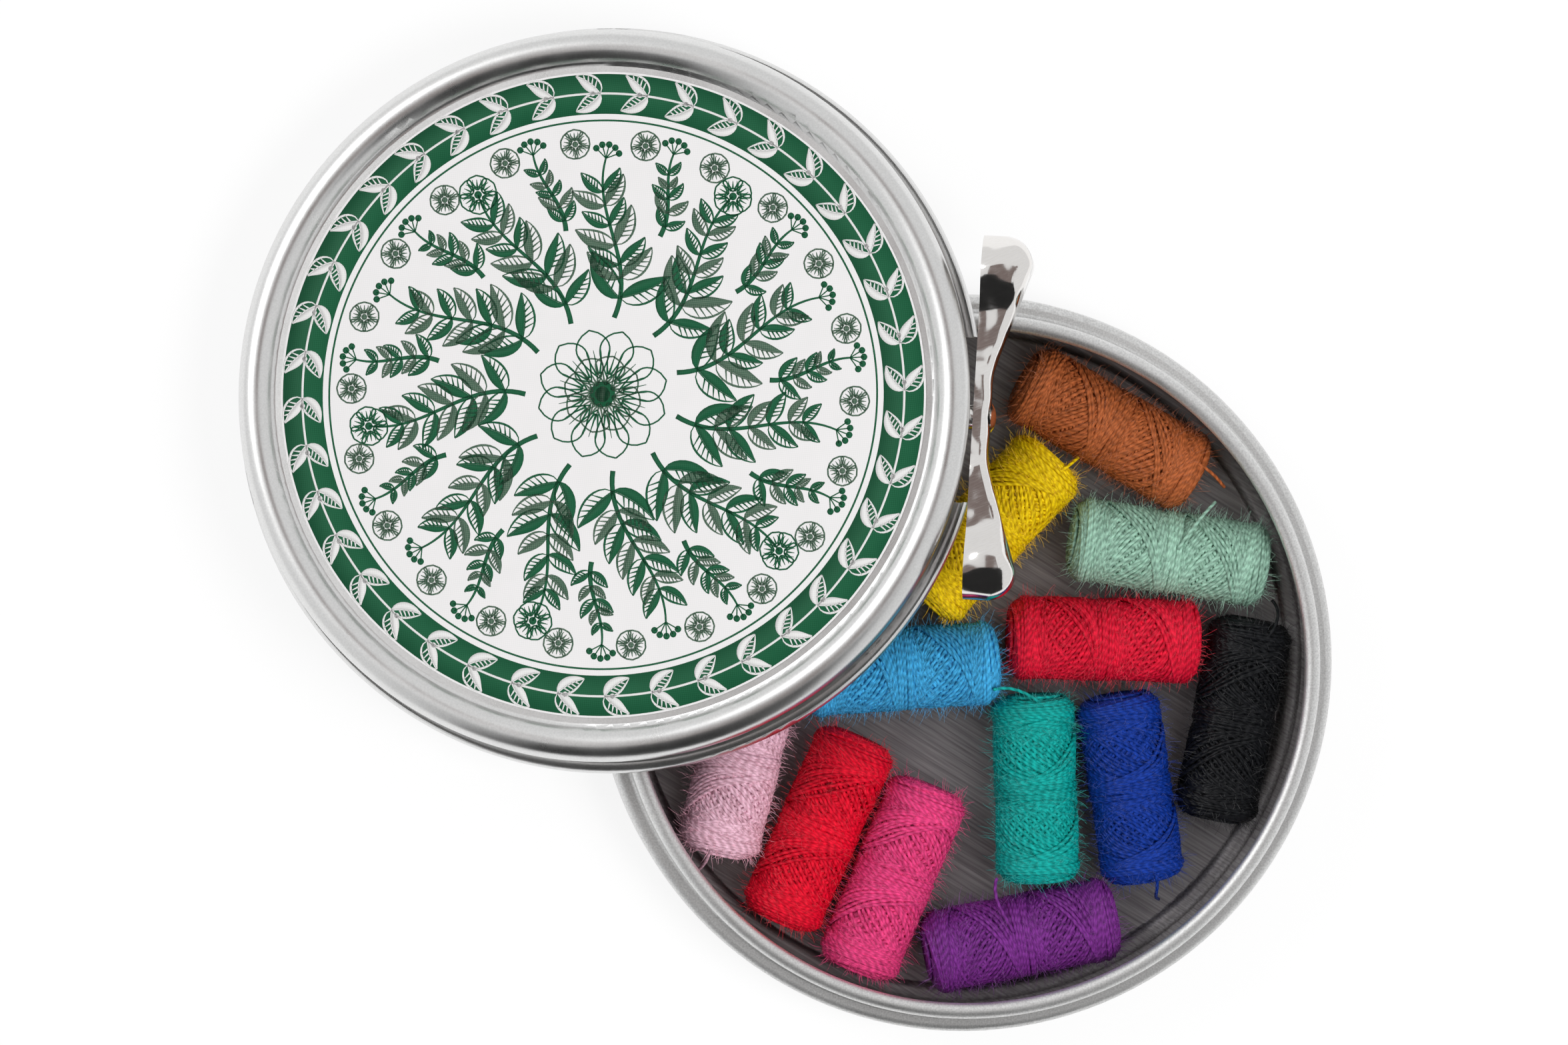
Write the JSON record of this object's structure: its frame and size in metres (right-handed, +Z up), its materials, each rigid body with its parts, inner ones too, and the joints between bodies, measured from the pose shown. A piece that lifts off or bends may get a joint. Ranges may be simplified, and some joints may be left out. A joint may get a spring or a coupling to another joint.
{
  "type": "bobbin box",
  "caption": "Round sheet metal tin with a slip-over lid, a twist key riveted to the lid's skirt and loose coreless thread bobbins inside, shown open with the lid leaning on its rim",
  "frame": {"origin": "middle of the tin's flat underside, on its axis", "axes": "+Z up along the tin's axis; +X to the right and +Y away from the viewer as the open tin is seen from above, with the lid leaning at -X +Y"},
  "size_m": [0.1187, 0.109, 0.0255],
  "materials": {
    "tin_metal": "satin drawn sheet with a fine brushed grain",
    "label_paper": "uncoated cream paper printed in green",
    "key_plate": "bright nickel plate",
    "thread_brown": "mercerised cotton thread, slightly fuzzy",
    "thread_sage": "mercerised cotton thread, slightly fuzzy",
    "thread_crimson": "mercerised cotton thread, slightly fuzzy",
    "thread_black": "mercerised cotton thread, slightly fuzzy",
    "thread_teal": "mercerised cotton thread, slightly fuzzy",
    "thread_royal_blue": "mercerised cotton thread, slightly fuzzy",
    "thread_scarlet": "mercerised cotton thread, slightly fuzzy",
    "thread_magenta": "mercerised cotton thread, slightly fuzzy",
    "thread_purple": "mercerised cotton thread, slightly fuzzy",
    "thread_yellow": "mercerised cotton thread, slightly fuzzy",
    "thread_sky_blue": "mercerised cotton thread, slightly fuzzy",
    "thread_light_pink": "mercerised cotton thread, slightly fuzzy",
    "thread_olive": "mercerised cotton thread, slightly fuzzy",
    "thread_ivory": "mercerised cotton thread, slightly fuzzy"
  },
  "bodies": {
    "base": {"base_shell": "tin_metal", "bobbin_yellow": "thread_yellow", "bobbin_sky_blue": "thread_sky_blue", "bobbin_light_pink": "thread_light_pink", "bobbin_olive": "thread_olive", "bobbin_ivory": "thread_ivory"},
    "lid": {"lid_shell": "tin_metal", "lid_label": "label_paper", "key_rivet": "key_plate", "key_spacer": "key_plate"},
    "key": {"opening_key": "key_plate"},
    "brown_bobbin": {"bobbin_brown": "thread_brown"},
    "sage_bobbin": {"bobbin_sage": "thread_sage"},
    "crimson_bobbin": {"bobbin_crimson": "thread_crimson"},
    "black_bobbin": {"bobbin_black": "thread_black"},
    "teal_bobbin": {"bobbin_teal": "thread_teal"},
    "royal_blue_bobbin": {"bobbin_royal_blue": "thread_royal_blue"},
    "scarlet_bobbin": {"bobbin_scarlet": "thread_scarlet"},
    "magenta_bobbin": {"bobbin_magenta": "thread_magenta"},
    "purple_bobbin": {"bobbin_purple": "thread_purple"}
  },
  "joints": [
    {"name": "lid_lift", "type": "slide", "parent": "base", "child": "lid", "axis": [0, 0, 1], "range_m": [0, 0.05]},
    {"name": "key_twist", "type": "hinge", "parent": "lid", "child": "key", "pos_m": [0.0014, 0.02729, 0.01977], "axis": [0.9863, -0.0522, 0.1567], "range_deg": [-15, 25]},
    {"name": "brown_lift", "type": "slide", "parent": "base", "child": "brown_bobbin", "axis": [0, 0, 1], "range_m": [0, 0.03]},
    {"name": "sage_lift", "type": "slide", "parent": "base", "child": "sage_bobbin", "axis": [0, 0, 1], "range_m": [0, 0.03]},
    {"name": "crimson_lift", "type": "slide", "parent": "base", "child": "crimson_bobbin", "axis": [0, 0, 1], "range_m": [0, 0.03]},
    {"name": "black_lift", "type": "slide", "parent": "base", "child": "black_bobbin", "axis": [0, 0, 1], "range_m": [0, 0.03]},
    {"name": "teal_lift", "type": "slide", "parent": "base", "child": "teal_bobbin", "axis": [0, 0, 1], "range_m": [0, 0.03]},
    {"name": "royal_blue_lift", "type": "slide", "parent": "base", "child": "royal_blue_bobbin", "axis": [0, 0, 1], "range_m": [0, 0.03]},
    {"name": "scarlet_lift", "type": "slide", "parent": "base", "child": "scarlet_bobbin", "axis": [0, 0, 1], "range_m": [0, 0.03]},
    {"name": "magenta_lift", "type": "slide", "parent": "base", "child": "magenta_bobbin", "axis": [0, 0, 1], "range_m": [0, 0.03]},
    {"name": "purple_lift", "type": "slide", "parent": "base", "child": "purple_bobbin", "axis": [0, 0, 1], "range_m": [0, 0.03]}
  ]
}
